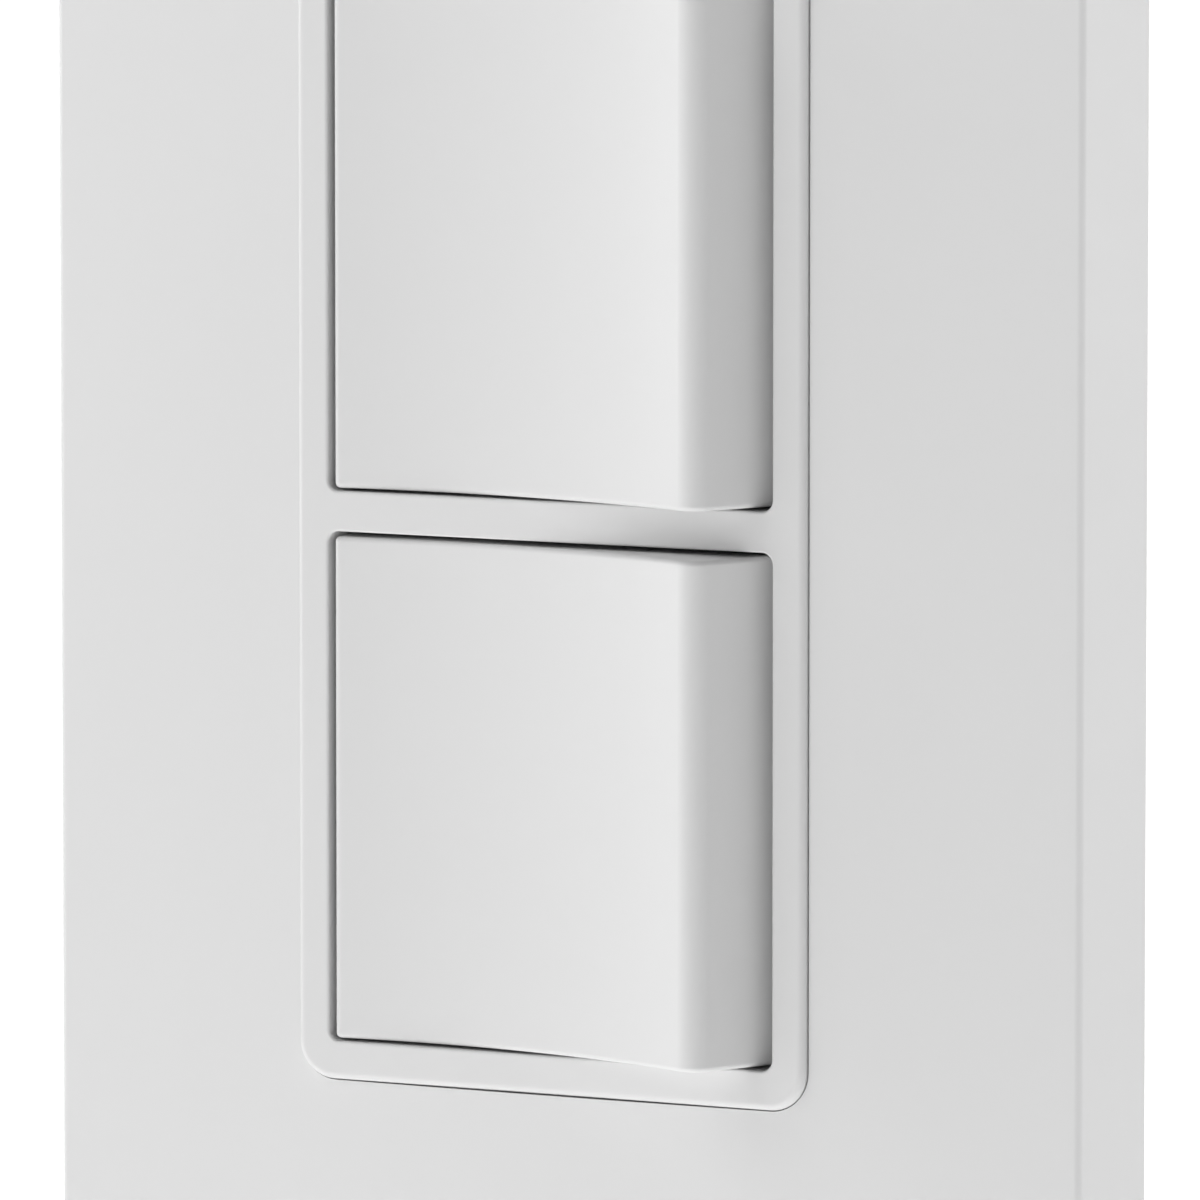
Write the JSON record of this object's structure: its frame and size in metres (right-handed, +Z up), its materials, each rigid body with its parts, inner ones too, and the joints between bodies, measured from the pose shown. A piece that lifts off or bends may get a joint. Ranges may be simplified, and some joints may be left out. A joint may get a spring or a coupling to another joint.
{
  "type": "rocker wall switch",
  "caption": "Wall switch with stacked rocker paddles that rock side to side in one face frame, behind a plain screwless wall plate.",
  "frame": {"origin": "middle of the wall plate's back, on the wall surface", "axes": "+X to the viewer's right, +Y into the wall, +Z up"},
  "size_m": [0.0698, 0.0347, 0.1142],
  "materials": {
    "plate_white": "satin moulded white thermoplastic",
    "device_white": "semi-gloss moulded white thermoplastic",
    "adapter_white": "plain moulded white plastic",
    "strap_steel": "zinc-plated stamped steel",
    "screw_steel": "zinc-plated steel",
    "screw_white": "white painted steel",
    "screw_black": "black oxide steel",
    "screw_brass": "brass-plated steel",
    "screw_green": "green dichromate steel",
    "terminal_brass": "stamped brass strip",
    "contact_silver": "silver alloy",
    "spring_steel": "music wire",
    "housing_grey": "moulded dark thermoset",
    "plunger_nylon": "natural nylon",
    "retainer_fibre": "pressed fibre"
  },
  "bodies": {
    "device": {"wall_plate_cover": "plate_white", "wall_plate_adapter": "adapter_white", "adapter_screws": "screw_white", "mounting_strap": "strap_steel", "box_screws": "screw_steel", "screw_retainers": "retainer_fibre", "ground_screw": "screw_green", "face_frame": "device_white", "rear_housing": "housing_grey", "assembly_rivets": "screw_steel", "line_terminal": "terminal_brass", "line_screws": "screw_black", "load_screws": "screw_brass", "load_terminal_upper": "terminal_brass", "load_terminal_lower": "terminal_brass", "fixed_contact_upper": "contact_silver", "fixed_contact_lower": "contact_silver"},
    "rocker_upper": {"rocker_upper": "device_white", "plunger_spring_upper": "spring_steel"},
    "plunger_upper": {"plunger_upper": "plunger_nylon"},
    "contact_bar_upper": {"contact_bar_upper": "terminal_brass", "moving_contact_upper": "contact_silver"},
    "rocker_lower": {"rocker_lower": "device_white", "plunger_spring_lower": "spring_steel"},
    "plunger_lower": {"plunger_lower": "plunger_nylon"},
    "contact_bar_lower": {"contact_bar_lower": "terminal_brass", "moving_contact_lower": "contact_silver"}
  },
  "joints": [
    {"name": "rocker_upper_rock", "type": "hinge", "parent": "device", "child": "rocker_upper", "pos_m": [0, -0.00044, 0.01612], "axis": [0, 0, 1], "range_deg": [0, 18]},
    {"name": "plunger_upper_slide", "type": "slide", "parent": "rocker_upper", "child": "plunger_upper", "axis": [-0.1564, -0.9877, 0], "range_m": [0, 0.001], "stiffness_N_per_m": 500, "springref_m": -0.002, "deforming": ["plunger_spring_upper"]},
    {"name": "contact_bar_upper_rock", "type": "hinge", "parent": "device", "child": "contact_bar_upper", "pos_m": [0, 0.0126, 0.01612], "axis": [0, 0, 1], "range_deg": [-12, 0]},
    {"name": "rocker_lower_rock", "type": "hinge", "parent": "device", "child": "rocker_lower", "pos_m": [0, -0.00044, -0.01612], "axis": [0, 0, 1], "range_deg": [0, 18]},
    {"name": "plunger_lower_slide", "type": "slide", "parent": "rocker_lower", "child": "plunger_lower", "axis": [-0.1564, -0.9877, 0], "range_m": [0, 0.001], "stiffness_N_per_m": 500, "springref_m": -0.002, "deforming": ["plunger_spring_lower"]},
    {"name": "contact_bar_lower_rock", "type": "hinge", "parent": "device", "child": "contact_bar_lower", "pos_m": [0, 0.0126, -0.01612], "axis": [0, 0, 1], "range_deg": [-12, 0]}
  ],
  "couplings": [
    {"joint": "contact_bar_upper_rock", "follows": "rocker_upper_rock", "ratio": -0.66667},
    {"joint": "contact_bar_lower_rock", "follows": "rocker_lower_rock", "ratio": -0.66667}
  ]
}
